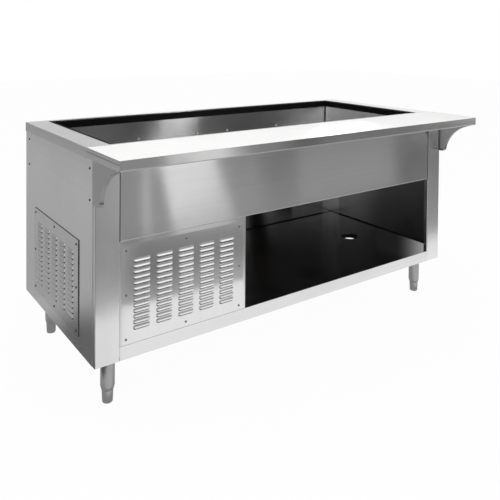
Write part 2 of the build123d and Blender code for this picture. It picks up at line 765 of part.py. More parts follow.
def refrigerant_lines():
    """Suction line down to the compressor, discharge line to the condenser and liquid line to the coil."""
    x, y = COMPRESSOR_AT
    condenser_top = Z_BASE + CONDENSER_H
    pot_top = Z_COMPRESSOR + COMPRESSOR_H
    suction = rod((X_RISER, Y_ROWS[-1], pot_top), (0, 0, 1), SUCTION_R, Z_FOAM_FLOOR - pot_top)
    liquid = rod((X_RISER, Y_ROWS[0], condenser_top), (0, 0, 1), LINE_R, Z_FOAM_FLOOR - condenser_top)
    header_x = X_CONDENSER[0] - HEADER_W / 2
    header_y = Y_FRONT + CONDENSER_Y[1]
    discharge = rod((header_x, header_y, FAN_Z), (0, 1, 0), LINE_R, y - header_y)
    discharge -= rod((x, y, Z_COMPRESSOR), (0, 0, 1), COMPRESSOR_R, COMPRESSOR_H)
    return [suction, liquid, discharge]


def knob_place():
    return X_BOX + BOX_W / 2, Z_BOX + KNOB_LIFT


def rocker_place():
    return X_BOX + BOX_W / 2, Z_BOX + ROCKER_LIFT


def control_box():
    """Small sheet box on the partition, with a hole for the shaft and a slot for the rocker."""
    x, y, z = (X_BOX, X_BOX + BOX_W), (Y_BOX, Y_BOX + BOX_D), (Z_BOX, Z_BOX + BOX_H)
    box = block(x, y, z) - block((x[0] + BOX_T, x[1]), inset(y, BOX_T), inset(z, BOX_T))
    knob_x, knob_z = knob_place()
    rocker_x, rocker_z = rocker_place()
    shaft = rod((knob_x, Y_BOX, knob_z), (0, 1, 0), KNOB_SHAFT_R + RUNNING_FIT, BOX_T)
    half = ROCKER_H / 2 + ROCKER_GAP
    slot = block(
        (rocker_x - ROCKER_W / 2 - SLIDE_FIT, rocker_x + ROCKER_W / 2 + SLIDE_FIT),
        (Y_BOX, Y_BOX + BOX_T),
        (rocker_z - half, rocker_z + half),
    )
    return box - shaft - slot


def thermostat_knob():
    """Faceted knob with a pointer, on its shaft."""
    x, z = knob_place()
    seat = Y_BOX - KNOB_STANDOFF
    face = Plane((x, seat, z), x_dir=(1, 0, 0), z_dir=(0, -1, 0))
    grip = extrude(face * RegularPolygon(KNOB_R, KNOB_SIDES), amount=KNOB_H)
    pointer = block(
        (x - POINTER_W / 2, x + POINTER_W / 2),
        (seat - KNOB_H - POINTER_W / 2, seat - KNOB_H),
        (z, z + POINTER_LENGTH),
    )
    return grip + pointer + rod((x, seat, z), (0, 1, 0), KNOB_SHAFT_R, KNOB_SHAFT_LENGTH)


def power_rocker():
    """Rocker with a hollowed face and a keel inside the box, pivoted in the slot."""
    x, z = rocker_place()
    half = ROCKER_H / 2
    profile = Polyline(
        (-ROCKER_RISE, half),
        (ROCKER_RISE, half),
        (ROCKER_KEEL, 0),
        (ROCKER_RISE, -half),
        (-ROCKER_RISE, -half),
        (0, 0),
        close=True,
    )
    rocker = along_x(make_face(profile), (x - ROCKER_W / 2, x + ROCKER_W / 2))
    return Pos(0, Y_BOX, z) * Rot(X=-ROCKER_TILT) * rocker


def build():
    """Every piece of the table by its name."""
    grille = louver_grille()
    bracket = shelf_bracket()
    parts = {
        "post_front_left": front_post(),
        "post_front_right": mirrored(front_post()),
        "post_back_left": back_post(),
        "post_back_right": mirrored(back_post()),
        "end_panel_left": left_end_panel(),
        "end_panel_right": mirrored(end_panel()),
        "back_panel": back_panel(),
        "front_apron": front_apron(),
        "access_frame": access_frame(),
        "partition": partition(),
        "bottom_shelf": bottom_shelf(),
        "top_sheet": top_sheet(),
        "work_shelf": work_shelf(),
        "cutting_board": cutting_board(),
        "shelf_bracket_left": bracket,
        "shelf_bracket_right": mirrored(bracket),
        "louver_panel_front": place_on_front(grille),
        "louver_panel_left": place_on_left(grille),
        "breaker_strips": breaker_strips(),
        "cold_pan": cold_pan(),
        "drain_pipe": drain_pipe(),
        "pan_insulation": pan_insulation(),
        "pan_jacket": pan_jacket(),
        "evaporator_coil": evaporator_coil(),
        "drain_valve_body": valve_body(),
        "drain_valve_lever": valve_lever(),
        "condensing_base": condensing_base(),
        "condenser_core": condenser_core(),
        "fan_shroud": fan_shroud(),
        "fan_blade": fan_blade(),
        "fan_motor": fan_motor(),
        "motor_pedestal": motor_pedestal(),
        "compressor": compressor(),
        "compressor_mounts": compressor_mounts(),
        "refrigerant_lines": refrigerant_lines(),
        "control_box": control_box(),
        "thermostat_knob": thermostat_knob(),
        "power_rocker": power_rocker(),
        "legs": [leg(place) for place in leg_places().values()],
    }
    for name, place in leg_places().items():
        parts["foot_" + name] = foot(place)
    return parts


def solids_of(shape):
    """The separate solids of a piece or of a list of pieces."""
    shapes = shape if isinstance(shape, list) else [shape]
    return [solid for item in shapes for solid in item.solids()]


os.makedirs("parts", exist_ok=True)
for part_name, part_shape in build().items():
    solids = solids_of(part_shape)
    export_step(solids[0] if len(solids) == 1 else Compound(children=solids), f"parts/{part_name}.step")
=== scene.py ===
import math

import bmesh
import bpy
from mathutils import Matrix, Vector


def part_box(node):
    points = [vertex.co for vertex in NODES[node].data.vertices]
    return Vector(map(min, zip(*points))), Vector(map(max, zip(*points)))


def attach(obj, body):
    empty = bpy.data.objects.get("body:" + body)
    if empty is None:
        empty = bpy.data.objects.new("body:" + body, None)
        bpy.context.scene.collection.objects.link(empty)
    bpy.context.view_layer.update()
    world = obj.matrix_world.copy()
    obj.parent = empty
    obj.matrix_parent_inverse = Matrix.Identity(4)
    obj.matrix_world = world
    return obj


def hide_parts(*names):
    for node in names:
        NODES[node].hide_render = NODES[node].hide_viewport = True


# Looks of the refrigerated table: finishes, louvers, tray, fasteners, turned legs, light and camera.
# Sizes are in metres and angles in radians, unless a name says otherwise.
# X runs along the front, Y to the back and Z up, with the floor at Z = 0.

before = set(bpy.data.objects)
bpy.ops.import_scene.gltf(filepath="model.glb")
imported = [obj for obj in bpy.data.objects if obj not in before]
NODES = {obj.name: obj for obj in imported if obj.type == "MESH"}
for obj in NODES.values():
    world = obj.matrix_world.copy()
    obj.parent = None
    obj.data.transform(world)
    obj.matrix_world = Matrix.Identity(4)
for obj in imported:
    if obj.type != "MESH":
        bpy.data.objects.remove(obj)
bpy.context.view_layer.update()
CABINET = "cabinet"

# Camera, in the photograph's square frame
FRAME_PX = 500
CAMERA_AT = (-1.6801, -2.2288, 1.3029)
CAMERA_YAW = 0.6265
CAMERA_PITCH = 0.0221
CAMERA_ROLL = 0.0085
FOCAL_PX = 611.4
CENTRE_SHIFT_PX = -201.8
SENSOR_MM = 36.0

# Louvers of the two access panels: U runs across a panel and V up
LOUVER_COLUMNS = 5
LOUVER_ROWS = 13
LOUVER_W = 0.064
LOUVER_H = 0.012
LOUVER_PITCH_U = 0.089
LOUVER_PITCH_V = 0.0196
LOUVER_END = 0.009
LOUVER_END_SHARE = 0.3
LOUVER_STEPS_U = 16
LOUVER_STEPS_V = 6
LOUVER_SLOT = 0.0052
LOUVER_SMOOTH_DEG = 28.0
FRONT_FLARE = 1.7
LEFT_FLARE = 0.8
SHEET_T = 0.001
GASKET_T = 0.0022
GASKET_W = 0.014
GASKET_SETBACK = 0.0006

# Tray round the board
TRAY_T = 0.0015
TRAY_SETBACK = 0.0006
HEM_R = 0.0026
HEM_STEPS = 20
FOLD_STEPS = 6

# Rounded folds of the sheet and edges of the board
FOLD_R = 0.0005
FOLD_DEG = 40.0
FOLD_SEGMENTS = 2
WELD_REACH = 0.00001
SOFT_NODES = ["top_sheet", "end_panel_right", "bottom_shelf", "access_frame", "partition", "cutting_board"]

# Screws: rings are (share of the radius, share of the height) pairs
SCREW_R = 0.0046
SCREW_H = 0.0022
SCREW_SIDES = 16
SCREW_RINGS = ((1.0, 0.0), (0.96, 0.45), (0.75, 0.85), (0.5, 1.0), (0.22, 1.0))
CROSS_ARMS = 4
CROSS_REACH = 0.5
CROSS_FLOOR = 0.35
CROSS_MIDDLE = 0.3
SCREW_INSET = 0.018
END_SCREW_FRONT = 0.026
END_SCREW_BACK = 0.046
END_SCREW_Z = (0.847, 0.739)

# Studs and corner beads of the pan: the dome has shares of the stud's radius and height
STUD_R = 0.006
STUD_H = 0.003
STUD_Z = 0.797
STUD_X = (-0.42, -0.0905, 0.0905, 0.42)
STUD_SHIFT = 0.0203
STUD_SIDES = 16
STUD_DOME = ((0.0, 0.0), (1.0, 0.0), (0.9, 0.5), (0.6, 0.9), (0.0, 1.0))
PAN_WALL_INSET = 0.017
CORNER_W = 0.006
CORNER_H = 0.11

# Collar in the shelf's drain hole
COLLAR_R = 0.0449
COLLAR_T = 0.0008
COLLAR_BORE = 0.0395
COLLAR_DEPTH = 0.0225

# Sealed seams between the shelf and the walls round it, as hollow as the pan's corner beads
SEAM_H = 0.005
SEAM_RIGHT_W = 0.007
SEAM_BACK_W = 0.006
COVE_SHARE = 0.35

# Open joints between the apron and the posts, with black strips in them as painted shade
JOINT_W = 0.0016
JOINT_PROUD = 0.0003
JOINT_DEPTH = 0.002
JOINT_EDGE = 0.0004

# Legs and feet
LEG_R = 0.0254
LEG_THROAT_R = 0.0199
LEG_END_R = 0.0222
LEG_SWAGE = (0.048, 0.060)
LEG_EDGE = 0.0008
LEG_EDGE_H = 0.0012
SWAGE_ROUND = (0.001, 0.0016)
LEG_SOCKET_TOP = 0.110
LEG_PLATE_W = 0.1
LEG_PLATE_T = 0.004
LEG_PLATE_CORNER = 0.010
LEG_BOLT_INSET = 0.016
BOLT_R = 0.0075
BOLT_H = 0.005
FOOT_NECK_R = 0.0194
FOOT_TOP_R = 0.0206
FOOT_LOW_R = 0.0188
FOOT_SHOULDER = 0.0465
FOOT_EDGE = 0.0006
FOOT_ROUND = 0.006
FOOT_ROUND_STEPS = 5
CORNER_STEPS = 4
TURN_STEPS = 40

# Meshes: reach at which points merge, height up to which sheet is flat, and largest smooth angle
MERGE_REACH = 1e-7
FLAT_REACH = 1e-6
SMOOTH_DEG = 35.0

# Noise in the finishes: the span of its values that is used, and how fine its detail is
NOISE_SPAN = (0.3, 0.7)
COARSE_DETAIL = 2.0
MEDIUM_DETAIL = 3.0
FINE_DETAIL = 4.0

# Brushed steel: noise scales along and across the grain, and shares of the shade and roughness
HAIR_SCALE = (3.0, 900.0)
LINE_SCALE = (1.2, 150.0)
SMUDGE_SCALE = 4.0
STEEL_TONES = (0.97, 1.025)
STEEL_GLOSS = (0.85, 1.2)
HAIR_DEPTH = 0.0000008
BRUSH_TURN = 0.25
# Span of the facing mask that carries the steel's painted side shades
FACING_SPAN = (0.7, 0.9)

# Plain finishes and rubber
PLAIN_GRAIN = 400.0
PLAIN_DEPTH = 0.00002
PLAIN_GLOSS = (0.85, 1.15)
CLOUD_RATIO = 40.0
RUBBER_SHADE = 0.008
RUBBER_ROUGHNESS = 0.75
LOW_GASKET_SHADE = 0.06
GREYING_Z = (0.26, 0.46)

# Light and studio
AMBIENT = 0.75
KEY_POWER = 36.0
KEY_SIZE = (3.2, 2.4)
KEY_AT = (-0.8, -0.8, 3.2)
KEY_AIM = (-0.2, 0.0, 0.6)
FLOOR_SIZE = 30.0
FLOOR_SHADE = 0.86
SHADOW_SHARE = 0.04

# Levels of the cards that lie on the floor, so that a small one covers a large one
UNDER_LEVEL = 0.003
WIDE_LEVEL = 0.004
FADE_LEVEL = 0.006
BAND_LEVEL = 0.008

# Upright cards before the front: their places from far to near, and the top of the near ones
WALL_Y = -7.0
APRON_Y = -1.92
FLAG_Y = -1.91
BAND_Y = -1.9
BAND_TOP = 0.5

# Places of the other cards
LEFT_WALL_Y = 12.0
RIM_CARD_Y = 6.0
PAN_CARD_Y = -0.28
CEILING_Z = 3.4
CORNER_CARD_X = 0.9125
HOLE_CARD_Z = 0.19


def map_range(tree, value, span, ends, smooth=False):
    """A value carried from one range to another, and held at its ends."""
    ranger = tree.nodes.new("ShaderNodeMapRange")
    if smooth:
        ranger.interpolation_type = "SMOOTHSTEP"
    for name, number in zip(("From Min", "From Max", "To Min", "To Max"), (*span, *ends)):
        ranger.inputs[name].default_value = number
    tree.links.new(value, ranger.inputs["Value"])
    return ranger.outputs["Result"]


def calculate(tree, operation, first, second):
    """Result of a maths operation on two values, each one a number or a socket."""
    node = tree.nodes.new("ShaderNodeMath")
    node.operation = operation
    for socket, value in zip(node.inputs, (first, second)):
        if isinstance(value, float):
            socket.default_value = value
        else:
            tree.links.new(value, socket)
    return node.outputs["Value"]


class Finish:
    """A principled material and the texture nodes that feed it."""

    def __init__(self, name, colour, roughness, metallic=0.0):
        self.material = bpy.data.materials.new(name)
        self.material.use_nodes = True
        self.tree = self.material.node_tree
        self.shader = self.tree.nodes["Principled BSDF"]
        self.set("Base Color", (*colour, 1.0))
        self.set("Roughness", roughness)
        self.set("Metallic", metallic)
        self.place = self.add("ShaderNodeTexCoord").outputs["Object"]

    def set(self, socket, value):
        """Gives a socket of the shader one value all over."""
        self.shader.inputs[socket].default_value = value

    def add(self, kind, **values):
        """A new node with some of its properties set."""
        new = self.tree.nodes.new(kind)
        for name, value in values.items():
            setattr(new, name, value)
        return new

    def feed(self, output, target):
        """Links an output to an input."""
        self.tree.links.new(output, target)

    def noise(self, scale, detail=MEDIUM_DETAIL):
        """Noise between 0 and 1; scale is a number, or three for streaks."""
        stretch = self.add("ShaderNodeMapping")
        stretch.inputs["Scale"].default_value = scale if isinstance(scale, tuple) else (scale,) * 3
        texture = self.add("ShaderNodeTexNoise")
        texture.inputs["Scale"].default_value = 1.0
        texture.inputs["Detail"].default_value = detail
        self.feed(self.place, stretch.inputs["Vector"])
        self.feed(stretch.outputs["Vector"], texture.inputs["Vector"])
        return texture.outputs["Fac"]

    def vary(self, socket, fac, low, high):
        """Feeds a socket of the shader with noise between two values."""
        self.feed(map_range(self.tree, fac, NOISE_SPAN, (low, high)), self.shader.inputs[socket])

    def blend(self, fac, first, second):
        """Colour between two colours, each one a tuple or a socket."""
        mix = self.add("ShaderNodeMix", data_type="RGBA")
        ends = [socket for socket in mix.inputs if socket.type == "RGBA"]
        for socket, colour in zip(ends, (first, second)):
            if isinstance(colour, tuple):
                socket.default_value = (*colour, 1.0)
            else:
                self.feed(colour, socket)
        self.feed(fac, mix.inputs["Factor"])
        return [socket for socket in mix.outputs if socket.type == "RGBA"][0]

    def tint(self, fac, dark, light):
        """Base colour between two tones."""
        share = map_range(self.tree, fac, NOISE_SPAN, (0.0, 1.0))
        colour = self.blend(share, dark, light)
        self.feed(colour, self.shader.inputs["Base Color"])
        return colour

    def facing(self, direction):
        """1 on faces that look in a direction, else 0: the mask for the steel's painted side shades."""
        along = self.add("ShaderNodeVectorMath", operation="DOT_PRODUCT")
        self.feed(self.add("ShaderNodeNewGeometry").outputs["True Normal"], along.inputs[0])
        along.inputs[1].default_value = direction
        return map_range(self.tree, along.outputs["Value"], FACING_SPAN, (0.0, 1.0))

    def bump(self, fac, depth):
        """Raises the surface by a texture."""
        bump = self.add("ShaderNodeBump")
        bump.inputs["Strength"].default_value = 1.0
        bump.inputs["Distance"].default_value = depth
        self.feed(fac, bump.inputs["Height"])
        self.feed(bump.outputs["Normal"], self.shader.inputs["Normal"])


def grey(value):
    """Colour without hue."""
    return (value, value, value)


def streaks(grain, scale):
    """Noise scale with its first value along the grain and its second across it."""
    return tuple(scale[0] if part else scale[1] for part in grain)


def brushed_steel(name, grain, shade=0.76, roughness=0.15, anisotropy=0.85, sides=()):
    """Stainless sheet brushed along one axis; sides are (direction, shade) pairs of painted shade or
    painted light on the faces that look that way.
    """
    steel = Finish(name, grey(shade), roughness, 1.0)
    steel.set("Anisotropic", anisotropy)
    steel.set("Anisotropic Rotation", BRUSH_TURN)
    along = steel.add("ShaderNodeCombineXYZ")
    for socket, part in zip(along.inputs, grain):
        socket.default_value = part
    steel.feed(along.outputs["Vector"], steel.shader.inputs["Tangent"])
    hairs = steel.noise(streaks(grain, HAIR_SCALE))
    lines = steel.noise(streaks(grain, LINE_SCALE), COARSE_DETAIL)
    smudges = steel.noise(SMUDGE_SCALE, COARSE_DETAIL)
    both = calculate(steel.tree, "ADD", hairs, lines)
    mean = calculate(steel.tree, "MULTIPLY", both, 0.5)
    colour = steel.tint(mean, *(grey(shade * tone) for tone in STEEL_TONES))
    # Painted shade or light: faces that look in a side's direction take that side's shade
    for direction, painted_side_shade in sides:
        colour = steel.blend(steel.facing(direction), colour, grey(painted_side_shade))
        steel.feed(colour, steel.shader.inputs["Base Color"])
    steel.vary("Roughness", smudges, *(roughness * gloss for gloss in STEEL_GLOSS))
    steel.bump(hairs, HAIR_DEPTH)
    return steel.material


def plain_finish(name, colour, roughness, metallic=0.0, grain=PLAIN_GRAIN, depth=PLAIN_DEPTH):
    """A finish with a fine mottle in its colour, roughness and surface."""
    spread = 0.12
    finish = Finish(name, colour, roughness, metallic)
    mottle = finish.noise(grain, FINE_DETAIL)
    clouds = finish.noise(grain / CLOUD_RATIO)
    dark = tuple(part * (1.0 - spread) for part in colour)
    light = tuple(min(1.0, part * (1.0 + spread)) for part in colour)
    finish.tint(clouds, dark, light)
    finish.vary("Roughness", clouds, *(min(1.0, roughness * gloss) for gloss in PLAIN_GLOSS))
    finish.bump(mottle, depth)
    return finish.material


def matt_black(name, roughness, shade, shine):
    """Black rubber or plastic with little shine."""
    material = plain_finish(name, grey(shade), roughness)
    material.node_tree.nodes["Principled BSDF"].inputs["Specular IOR Level"].default_value = shine
    return material


def gasket_rubber(name):
    """Black rubber that is greyer towards the floor."""
    rubber = Finish(name, grey(RUBBER_SHADE), RUBBER_ROUGHNESS)
    parts = rubber.add("ShaderNodeSeparateXYZ")
    rubber.feed(rubber.place, parts.inputs["Vector"])
    upper_share = map_range(rubber.tree, parts.outputs["Z"], GREYING_Z, (0.0, 1.0))
    colour = rubber.blend(upper_share, grey(LOW_GASKET_SHADE), grey(RUBBER_SHADE))
    rubber.feed(colour, rubber.shader.inputs["Base Color"])
    rubber.bump(rubber.noise(PLAIN_GRAIN, FINE_DETAIL), PLAIN_DEPTH)
    return rubber.material


def galvanised(name, shade):
    """Zinc-coated sheet with soft spangles."""
    roughness = 0.38
    roughness_span = (0.32, 0.46)
    tones = (0.84, 1.1)
    spangles_per_metre = 60.0
    zinc = Finish(name, grey(shade), roughness, 1.0)
    cells = zinc.add("ShaderNodeTexVoronoi")
    cells.inputs["Scale"].default_value = spangles_per_metre
    zinc.feed(zinc.place, cells.inputs["Vector"])
    spangle = cells.outputs["Color"]
    zinc.tint(spangle, *(grey(shade * tone) for tone in tones))
    zinc.vary("Roughness", spangle, *roughness_span)
    return zinc.material


def board_plastic(name):
    """White polyethylene with faint knife marks."""
    shade = 0.86
    dark, light = (0.84, 0.84, 0.835), (0.88, 0.88, 0.875)
    roughness = 0.42
    roughness_span = (0.36, 0.50)
    knife_scale = (40.0, 900.0, 900.0)
    knife_depth = 0.00001
    cloud_scale = 6.0
    board = Finish(name, grey(shade), roughness)
    marks = board.noise(knife_scale, COARSE_DETAIL)
    clouds = board.noise(cloud_scale)
    board.tint(clouds, dark, light)
    board.vary("Roughness", marks, *roughness_span)
    board.bump(marks, knife_depth)
    return board.material


ALONG_X, ALONG_Y, ALONG_Z = (1.0, 0.0, 0.0), (0.0, 1.0, 0.0), (0.0, 0.0, 1.0)
LEFT, RIGHT, FORWARD, UP = (-1.0, 0.0, 0.0), (1.0, 0.0, 0.0), (0.0, -1.0, 0.0), (0.0, 0.0, 1.0)
STEEL_X = brushed_steel("steel_brushed_x", ALONG_X)
STEEL_Y = brushed_steel("steel_brushed_y", ALONG_Y, roughness=0.2)
STEEL_Z = brushed_steel("steel_brushed_z", ALONG_Z, roughness=0.13)
# Shelf: painted shade on its upward faces, so that the floor of the bay reads dark
STEEL_SHELF = brushed_steel("steel_shelf", ALONG_X, sides=[(UP, 0.55)])
# Posts: a lighter copy of the upright steel, painted light on the front posts
STEEL_POST = brushed_steel("steel_post", ALONG_Z, shade=0.82, roughness=0.22)
# Left end: a lighter copy of the steel, painted light outside and painted shade on its inner face in the
# bay
STEEL_LEFT_END = brushed_steel("steel_left_end", ALONG_Y, 0.86, 0.2, sides=[(RIGHT, 0.25)])
# Right end, back and back posts: painted shade on their inner faces in the bay
STEEL_RIGHT_END = brushed_steel("steel_right_end", ALONG_Y, roughness=0.2, sides=[(LEFT, 0.42)])
STEEL_BACK = brushed_steel("steel_back", ALONG_X, sides=[(FORWARD, 0.36)])
STEEL_BACK_POST = brushed_steel("steel_back_post", ALONG_Z, roughness=0.22, sides=[(FORWARD, 0.45)])
# Brackets: a dark copy of the steel, painted shade on the flange and curved faces, with lighter flat sides
STEEL_BRACKET = brushed_steel("steel_bracket", ALONG_Z, 0.3, 0.34, sides=[(LEFT, 0.61), (RIGHT, 0.61)])
# Pan: a darker copy of the steel, with painted light on its right wall and painted shade on its back wall
PAN_PAINTED_SIDES = [(LEFT, 0.9), (FORWARD, 0.31)]
STEEL_PAN = brushed_steel("steel_pan", ALONG_X, 0.44, 0.22, 1.0, sides=PAN_PAINTED_SIDES)
# Lip: painted shade on its front face
STEEL_LIP = brushed_steel("steel_lip", ALONG_X, sides=[(FORWARD, 0.65)])
# Hem: a darker copy of the lip's steel, painted shade on the rolled hem
STEEL_HEM = brushed_steel("steel_hem", ALONG_X, shade=0.55)
STEEL_TURNED = brushed_steel("steel_turned", ALONG_Z, 0.36, 0.34, 0.5)
STUD_STEEL = plain_finish("stud_steel", grey(0.5), 0.45, 1.0)
SCREW_STEEL = plain_finish("screw_steel", grey(0.3), 0.2, 1.0)
# Darker copy of the screw steel: painted shade on the screws of the ends and of the left panel
SCREW_SHADED = plain_finish("screw_steel_shaded", grey(0.1), 0.34, 1.0)
GALVANISED = galvanised("galvanised_sheet", 0.55)
# Jacket: a dark copy of the galvanised sheet, painted shade on the roof of the bay
JACKET = galvanised("galvanised_shaded", 0.12)
BOARD = board_plastic("board_white")
BREAKER = matt_black("breaker_black", 0.6, 0.003, 0.06)
RUBBER = matt_black("rubber_black", RUBBER_ROUGHNESS, RUBBER_SHADE, 0.2)
GASKET = gasket_rubber("gasket_rubber")
FOAM = plain_finish("foam_cream", (0.78, 0.66, 0.36), 0.9, grain=700.0, depth=0.0004)
COPPER = plain_finish("copper_tube", (0.80, 0.42, 0.28), 0.34, 1.0)
POT = plain_finish("compressor_black", grey(0.02), 0.35)
FINS = plain_finish("fin_aluminium", grey(0.72), 0.35, 1.0)
FAN = plain_finish("fan_aluminium", grey(0.66), 0.34, 1.0)
BRASS = plain_finish("valve_brass", (0.72, 0.55, 0.28), 0.34, 1.0)
LEVER = plain_finish("lever_red", (0.45, 0.02, 0.02), 0.4)
KNOB = plain_finish("knob_black", grey(0.02), 0.35)
ROCKER = plain_finish("rocker_black", grey(0.02), 0.3)

NODE_FINISH = {
    STEEL_X: ["front_apron", "top_sheet", "access_frame", "partition"],
    STEEL_BACK: ["back_panel"],
    STEEL_SHELF: ["bottom_shelf"],
    STEEL_LEFT_END: ["end_panel_left"],
    STEEL_RIGHT_END: ["end_panel_right"],
    STEEL_POST: ["post_front_left", "post_front_right"],
    STEEL_BACK_POST: ["post_back_left", "post_back_right"],
    STEEL_BRACKET: ["shelf_bracket_left", "shelf_bracket_right"],
    STEEL_PAN: ["cold_pan"],
    GALVANISED: ["condensing_base", "motor_pedestal", "fan_shroud", "control_box", "fan_motor"],
    JACKET: ["pan_jacket"],
    BOARD: ["cutting_board"],
    BREAKER: ["breaker_strips"],
    FOAM: ["pan_insulation"],
    COPPER: ["evaporator_coil", "refrigerant_lines"],
    POT: ["compressor"],
    RUBBER: ["compressor_mounts"],
    FINS: ["condenser_core"],
    FAN: ["fan_blade"],
    BRASS: ["drain_valve_body", "drain_pipe"],
    LEVER: ["drain_valve_lever"],
    KNOB: ["thermostat_knob"],
    ROCKER: ["power_rocker"],
}


def finish_nodes():
    """Gives every CAD node that stays its finish."""
    for material, names in NODE_FINISH.items():
        for name in names:
            slots = NODES[name].data.materials
            slots.clear()
            slots.append(material)


def soften_edges():
    """Gives the folded sheet and the board small rounded edges."""
    for name in SOFT_NODES:
        weld = NODES[name].modifiers.new("weld", "WELD")
        weld.merge_threshold = WELD_REACH
        bevel = NODES[name].modifiers.new("fold", "BEVEL")
        bevel.width = FOLD_R
        bevel.segments = FOLD_SEGMENTS
        bevel.limit_method = "ANGLE"
        bevel.angle_limit = math.radians(FOLD_DEG)
        bevel.harden_normals = True


def add_piece(name, mesh, material, body, replaced=(), smooth_deg=SMOOTH_DEG):
    """Puts a finished bmesh into the scene as a piece that rides on a body."""
    data = bpy.data.meshes.new(name)
    bmesh.ops.remove_doubles(mesh, verts=mesh.verts, dist=MERGE_REACH)
    bmesh.ops.recalc_face_normals(mesh, faces=mesh.faces)
    mesh.to_mesh(data)
    mesh.free()
    data.materials.append(material)
    data.shade_smooth()
    data.set_sharp_from_angle(angle=math.radians(smooth_deg))
    piece = bpy.data.objects.new(name, data)
    bpy.context.scene.collection.objects.link(piece)
    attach(piece, body)
    if replaced:
        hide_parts(*replaced)
    return piece


def revolve(mesh, profile, place, steps=TURN_STEPS, closed=False):
    """Adds a turned form from (radius, height) pairs; a closed profile makes a ring."""
    angles = [2.0 * math.pi * i / steps for i in range(steps)]
    rings = []
    for radius, height in profile:
        if radius <= 0.0:
            rings.append([mesh.verts.new(place @ Vector((0.0, 0.0, height)))])
            continue
        ring = [Vector((radius * math.cos(a), radius * math.sin(a), height)) for a in angles]
        rings.append([mesh.verts.new(place @ point) for point in ring])
    pairs = list(zip(rings, rings[1:]))
    if closed:
        pairs.append((rings[-1], rings[0]))
    for low, high in pairs:
        for i in range(steps):
            j = (i + 1) % steps
            corners = [low[i % len(low)], low[j % len(low)], high[j % len(high)], high[i % len(high)]]
            unique = list(dict.fromkeys(corners))
            if len(unique) > 2:
                mesh.faces.new(unique)


def bar(mesh, section, place, length):
    """Adds a straight bar: a closed section in the place's XY plane, carried along its Z."""
    rings = []
    for along in (0.0, length):
        rings.append([mesh.verts.new(place @ Vector((across, up, along))) for across, up in section])
    count = len(section)
    for i in range(count):
        j = (i + 1) % count
        mesh.faces.new((rings[0][i], rings[0][j], rings[1][j], rings[1][i]))
    mesh.faces.new(rings[0])
    mesh.faces.new(rings[1])


def cove(width, height):
    """Section of a hollow bead in a corner as (across, up) pairs."""
    return [(0.0, 0.0), (width, 0.0), (COVE_SHARE * width, COVE_SHARE * height), (0.0, height)]


def frame_ring(mesh, place, width, height, strip, low, high):
    """Adds a flat rectangular ring between two levels of a panel's place."""
    outlines = []
    for inset in (0.0, strip):
        side, top = width / 2 - inset, height / 2 - inset
        outlines.append([(-side, -top), (side, -top), (side, top), (-side, top)])
    levels = []
    for out in (low, high):
        spots = [[place @ Vector((across, up, out)) for across, up in line] for line in outlines]
        levels.append([[mesh.verts.new(spot) for spot in line] for line in spots])
    for i in range(4):
        j = (i + 1) % 4
        for outer, inner in levels:
            mesh.faces.new((outer[i], outer[j], inner[j], inner[i]))
        for near, far in zip(*levels):
            mesh.faces.new((near[i], near[j], far[j], far[i]))


def panel_place(centre, across, up):
    """Matrix from panel coordinates (across, up, out) to the frame."""
    out = Vector(across).cross(Vector(up))
    turn = Matrix((across, up, out)).transposed().to_4x4()
    return Matrix.Translation(centre) @ turn


def front_place():
    """Place, width, height and depth of the front access panel."""
    low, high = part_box("louver_panel_front")
    centre = ((low.x + high.x) / 2, high.y, (low.z + high.z) / 2)
    return panel_place(centre, (1, 0, 0), (0, 0, 1)), high.x - low.x, high.z - low.z, high.y - low.y


def left_place():
    """Place, width, height and depth of the left access panel."""
    low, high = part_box("louver_panel_left")
    centre = (high.x, (low.y + high.y) / 2, (low.z + high.z) / 2)
    return panel_place(centre, (0, -1, 0), (0, 0, 1)), high.y - low.y, high.z - low.z, high.x - low.x


def centred(count, pitch):
    """Evenly spaced places with their middle at zero."""
    return [(i - (count - 1) / 2) * pitch for i in range(count)]


def quarter_round(distance, radius):
    """Share of the full height that a rounded end has at a distance from its tip."""
    part = min(1.0, distance / radius)
    return math.sqrt(1.0 - (1.0 - part) ** 2)


def louver_columns():
    """Grid lines across the panel, each with its distance from the end of its louver."""
    lines = []
    for middle in centred(LOUVER_COLUMNS, LOUVER_PITCH_U):
        for i in range(LOUVER_STEPS_U + 1):
            swing = -math.cos(math.pi * i / LOUVER_STEPS_U)
            lines.append((middle + swing * LOUVER_W / 2, (1.0 - abs(swing)) * LOUVER_W / 2))
    return lines


def louver_rows():
    """Grid lines up the panel: a louver's middle and the step up from its cut edge, -1 under the slot."""
    steps = range(-1, LOUVER_STEPS_V + 1)
    return [(middle, i) for middle in centred(LOUVER_ROWS, LOUVER_PITCH_V) for i in steps]


def louver_points(mesh, place, columns, rows, face, rise, flare):
    """Points of the sheet, and those of the hoods' free edges, each by its grid lines."""
    sheet, hood = {}, {}
    for i, (across, reach) in enumerate(columns):
        crown = 0.0 if reach is None else quarter_round(reach, LOUVER_END)
        spread = LOUVER_END_SHARE + (1.0 - LOUVER_END_SHARE) * crown
        for j, (middle, step) in enumerate(rows):
            lift, up = 0.0, middle
            if step is not None:
                share = max(step, 0) / LOUVER_STEPS_V
                up = middle + (share - 0.5) * LOUVER_H * spread
            if step == -1:
                up -= LOUVER_SLOT * spread
            elif step is not None:
                lift = rise * crown * (1.0 - share) ** flare
            level = face if step == 0 else face + lift
            sheet[i, j] = mesh.verts.new(place @ Vector((across, up, level)))
            if step == 0 and lift > 0.0:
                hood[i, j] = mesh.verts.new(place @ Vector((across, up, face + lift)))
    return sheet, hood


